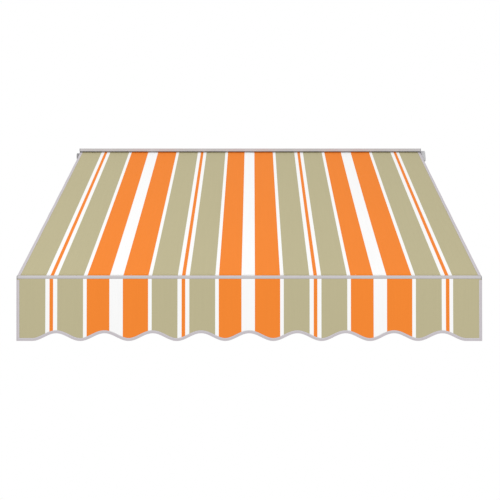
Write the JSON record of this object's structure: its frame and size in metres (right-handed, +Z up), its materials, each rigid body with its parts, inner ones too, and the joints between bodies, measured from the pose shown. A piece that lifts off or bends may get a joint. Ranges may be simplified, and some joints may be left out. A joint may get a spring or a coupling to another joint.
{
  "type": "retractable folding arm awning",
  "caption": "Striped cloth canopy with a wave-cut valance that winds on a roller under a hood and is pushed out by folding arms from a wall-mounted bar",
  "frame": {"origin": "on the wall plane at mid width, level with the centre line of the square bar", "axes": "+X runs along the bar to the awning's right as seen from in front looking at the wall, +Y points into the wall, +Z is up"},
  "size_m": [2.0211, 1.5004, 0.9762],
  "materials": {
    "striped_cloth": "woven acrylic, striped",
    "edge_tape": "woven tape",
    "painted_steel": "powder coat",
    "grey_plastic": "moulded",
    "coated_aluminium": "powder coat",
    "zinc_steel": "zinc plated",
    "spring_steel": "oiled",
    "cast_aluminium": "die cast"
  },
  "bodies": {
    "frame": {"torsion_bar": "painted_steel", "bar_cap_left": "grey_plastic", "bar_cap_right": "grey_plastic", "wall_bracket_left": "painted_steel", "wall_bracket_right": "painted_steel", "bracket_clamp_left": "painted_steel", "bracket_clamp_right": "painted_steel", "end_plate_left": "painted_steel", "end_plate_right": "painted_steel", "gear_housing": "cast_aluminium", "idle_bearing": "grey_plastic", "hood": "coated_aluminium", "hood_cap_left": "grey_plastic", "hood_cap_right": "grey_plastic", "hood_support_left": "painted_steel", "hood_support_right": "painted_steel", "shoulder_bracket_left": "cast_aluminium", "shoulder_bracket_right": "cast_aluminium", "shoulder_fork_left": "cast_aluminium", "shoulder_fork_right": "cast_aluminium", "shoulder_pin_left": "zinc_steel", "shoulder_pin_right": "zinc_steel", "canopy": "striped_cloth", "canopy_tape_left": "edge_tape", "canopy_tape_right": "edge_tape"},
    "roller": {"roller_tube": "zinc_steel", "roller_plug_left": "grey_plastic", "roller_plug_right": "grey_plastic"},
    "crank": {"crank_eye": "zinc_steel"},
    "upper_left": {"upper_arm_left": "coated_aluminium", "shoulder_knuckle_left": "cast_aluminium", "elbow_fork_left": "cast_aluminium", "elbow_pin_left": "zinc_steel", "tension_spring_left": "spring_steel", "tension_cable_left": "spring_steel"},
    "upper_right": {"upper_arm_right": "coated_aluminium", "shoulder_knuckle_right": "cast_aluminium", "elbow_fork_right": "cast_aluminium", "elbow_pin_right": "zinc_steel", "tension_spring_right": "spring_steel", "tension_cable_right": "spring_steel"},
    "fore_left": {"forearm_left": "coated_aluminium", "front_knuckle_left": "cast_aluminium", "elbow_knuckle_left": "cast_aluminium"},
    "fore_right": {"forearm_right": "coated_aluminium", "front_knuckle_right": "cast_aluminium", "elbow_knuckle_right": "cast_aluminium"},
    "front": {"front_bar": "coated_aluminium", "front_bar_cap_left": "grey_plastic", "front_bar_cap_right": "grey_plastic", "arm_connector_left": "cast_aluminium", "arm_connector_right": "cast_aluminium", "connector_pin_left": "zinc_steel", "connector_pin_right": "zinc_steel", "canopy_hem_rod": "grey_plastic", "valance": "striped_cloth", "valance_tape": "edge_tape", "valance_hem_rod": "grey_plastic"}
  },
  "joints": [
    {"name": "roller_turn", "type": "hinge", "parent": "frame", "child": "roller", "pos_m": [0, -0.075, 0.085], "axis": [-1, 0, 0], "range_deg": [0, 2010], "deforming": ["canopy", "canopy_tape_left", "canopy_tape_right"]},
    {"name": "crank_turn", "type": "hinge", "parent": "frame", "child": "crank", "pos_m": [1.0019, -0.09232, 0.095], "axis": [0, -0.5, -0.866], "range_deg": [0, 22110]},
    {"name": "shoulder_left", "type": "hinge", "parent": "frame", "child": "upper_left", "pos_m": [-0.83, -0.13, 0.028], "axis": [0, -0.4415, 0.8973], "range_deg": [0, 77.52]},
    {"name": "elbow_left", "type": "hinge", "parent": "upper_left", "child": "fore_left", "pos_m": [-0.70167, -0.783, -0.29332], "axis": [0, -0.4415, 0.8973], "range_deg": [-155.04, 0], "deforming": ["tension_cable_left"]},
    {"name": "front_left", "type": "hinge", "parent": "fore_left", "child": "front", "pos_m": [-0.83, -1.436, -0.61463], "axis": [0, -0.4415, 0.8973], "range_deg": [0, 77.52]},
    {"name": "shoulder_right", "type": "hinge", "parent": "frame", "child": "upper_right", "pos_m": [0.83, -0.13, 0.028], "axis": [0, -0.4415, 0.8973], "range_deg": [-77.52, 0]},
    {"name": "elbow_right", "type": "hinge", "parent": "upper_right", "child": "fore_right", "pos_m": [0.70167, -0.783, -0.29332], "axis": [0, -0.4415, 0.8973], "range_deg": [0, 155.04], "deforming": ["tension_cable_right"]}
  ],
  "couplings": [
    {"joint": "roller_turn", "follows": "shoulder_left", "ratio": 25.929},
    {"joint": "crank_turn", "follows": "shoulder_left", "ratio": 285.22},
    {"joint": "elbow_left", "follows": "shoulder_left", "ratio": -2},
    {"joint": "front_left", "follows": "shoulder_left", "ratio": 1},
    {"joint": "shoulder_right", "follows": "shoulder_left", "ratio": -1},
    {"joint": "elbow_right", "follows": "shoulder_left", "ratio": 2}
  ]
}
